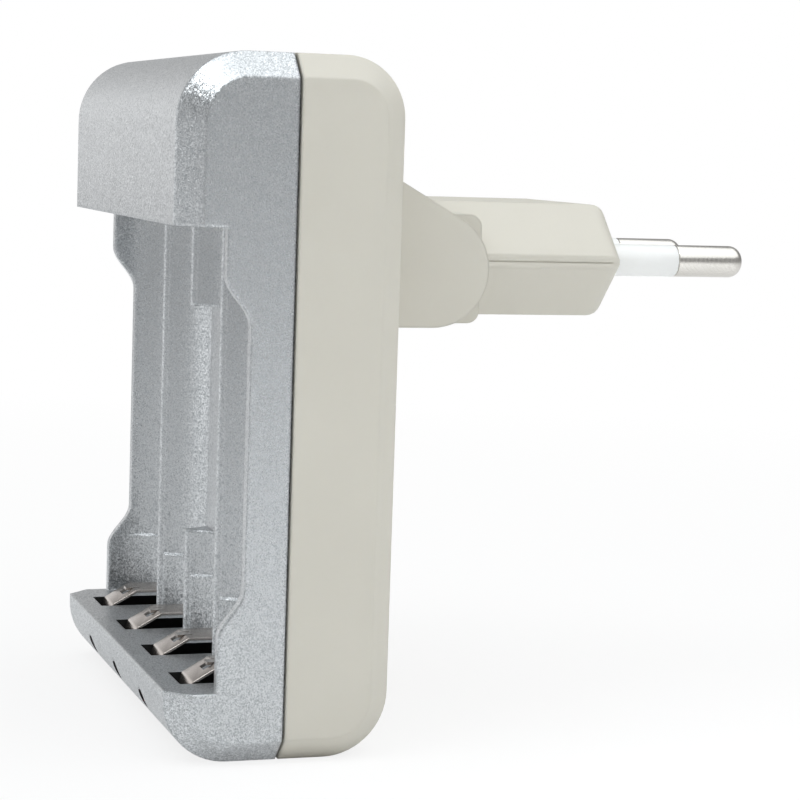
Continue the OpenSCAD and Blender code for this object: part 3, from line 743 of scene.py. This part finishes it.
# %% Floor
FLOOR_SIZE = 4.0
floor_shape = bmesh.new()
bmesh.ops.create_grid(floor_shape, x_segments=1, y_segments=1, size=FLOOR_SIZE / 2)
floor_mesh = bpy.data.meshes.new("floor")
floor_shape.to_mesh(floor_mesh)
floor_shape.free()
floor_paper, tree, shader = new_material("white_floor_paper", Roughness=0.9)
shader.inputs["Base Color"].default_value = linear("#F4F4F4")
path_kind = add(tree, "ShaderNodeLightPath")
seen = add(
    tree, "ShaderNodeMath",
    {0: path_kind.outputs["Is Camera Ray"], 1: path_kind.outputs["Is Transmission Ray"]}, operation="MAXIMUM",
)
SHADOW_REACH, PLAIN_WHITE, MIRRORED_WHITE = 0.35, 0.8, 0.3
place = add(tree, "ShaderNodeTexCoord")
away = add(tree, "ShaderNodeVectorMath", {0: place.outputs["Object"]}, operation="LENGTH")
white = add(
    tree, "ShaderNodeMapRange",
    {"Value": away.outputs["Value"], "From Max": SHADOW_REACH, "To Min": PLAIN_WHITE, "To Max": 1.0},
)
plain = add(
    tree, "ShaderNodeMath", {0: seen.outputs["Value"], 1: white.outputs["Result"]}, operation="MULTIPLY"
)
mirrored = add(
    tree, "ShaderNodeMath", {0: path_kind.outputs["Is Glossy Ray"], 1: MIRRORED_WHITE}, operation="MULTIPLY"
)
share = add(
    tree, "ShaderNodeMath", {0: plain.outputs["Value"], 1: mirrored.outputs["Value"]}, operation="MAXIMUM"
)
glow = add(tree, "ShaderNodeEmission", {"Color": linear("#FFFFFF"), "Strength": 1.0})
mixed = add(
    tree, "ShaderNodeMixShader",
    {"Fac": share.outputs["Value"], 1: shader.outputs["BSDF"], 2: glow.outputs["Emission"]},
)
tree.links.new(mixed.outputs["Shader"], tree.nodes["Material Output"].inputs["Surface"])
floor = new_piece("floor", floor_mesh, floor_paper)
print("floor of", FLOOR_SIZE, "m")

# %% [markdown]
# ## World
#
# The world is white to the camera. Metal shows what stands round it, so for mirrored rays the world is a
# studio: a low white sweep on the left and in front, which the front, the bays and the ribs look at, and
# a dimmer room overhead and on the camera's side, which the flat side looks at. The same dim level fills
# the shadows.

# %% World
world = bpy.data.worlds.new("studio")
scene.world = world
world.use_nodes = True
tree = world.node_tree
path_kind = add(tree, "ShaderNodeLightPath")
seen = add(
    tree, "ShaderNodeMath",
    {0: path_kind.outputs["Is Camera Ray"], 1: path_kind.outputs["Is Transmission Ray"]}, operation="MAXIMUM",
)
SWEEP_SIDE = (-1, -0.8, -1.6)
SWEEP_START, SWEEP_FULL, WORLD_FILL = 0.1, 0.9, 0.29
place = add(tree, "ShaderNodeTexCoord")
turn = add(
    tree, "ShaderNodeVectorMath", {0: place.outputs["Generated"], 1: SWEEP_SIDE}, operation="DOT_PRODUCT"
)
sweep = add(
    tree, "ShaderNodeMapRange",
    {
        "Value": turn.outputs["Value"], "From Min": SWEEP_START, "From Max": SWEEP_FULL,
        "To Min": WORLD_FILL, "To Max": 1.0,
    },
)
mirrored = add(
    tree, "ShaderNodeMath",
    {0: path_kind.outputs["Is Glossy Ray"], 1: sweep.outputs["Result"]}, operation="MULTIPLY",
)
shown = add(
    tree, "ShaderNodeMath", {0: seen.outputs["Value"], 1: mirrored.outputs["Value"]}, operation="MAXIMUM"
)
level = add(tree, "ShaderNodeMath", {0: shown.outputs["Value"], 1: WORLD_FILL}, operation="MAXIMUM")
background = tree.nodes["Background"]
background.inputs["Color"].default_value = linear("#FFFFFF")
tree.links.new(level.outputs["Value"], background.inputs["Strength"])
print("world fill", WORLD_FILL)

# %% [markdown]
# ## Studio lamps
#
# Four soft lamps draw the shape. The key hangs high in front and makes the flare on the rounded corner.
# A broad one overhead lights the plug's upper faces. A weak one low in front picks out the ribs, and a
# small pool of light on the table brightens the foot of the side, where the paint mirrors the table.

# %% Lamps of the studio
COOL_WHITE = (0.95, 0.985, 1.0)
# place, aim and width in mm, spread in degrees, power in watts
STUDIO_LIGHTS = {
    "key_softbox": ((150, -330, 560), (0, 10, 45), 300, 180, 1.0),
    "top_softbox": ((130, 140, 520), (0, 10, 45), 900, 180, 3.5),
    "front_softbox": ((-150, -480, 60), (0, 10, 45), 400, 180, 0.22),
    "table_pool": ((190, 70, 300), (190, 70, 0), 100, 60, 0.11),
}
for name, (spot, aim, width, spread, power) in STUDIO_LIGHTS.items():
    data = bpy.data.lights.new(name, "AREA")
    data.shape = "SQUARE"
    data.size = width * MM
    data.spread = math.radians(spread)
    data.energy = power
    data.color = COOL_WHITE
    light = bpy.data.objects.new(name, data)
    light.location = Vector(spot) * MM
    light.rotation_euler = (Vector(aim) - Vector(spot)).to_track_quat("-Z", "Y").to_euler()
    scene.collection.objects.link(light)
print("studio lights:", len(STUDIO_LIGHTS))
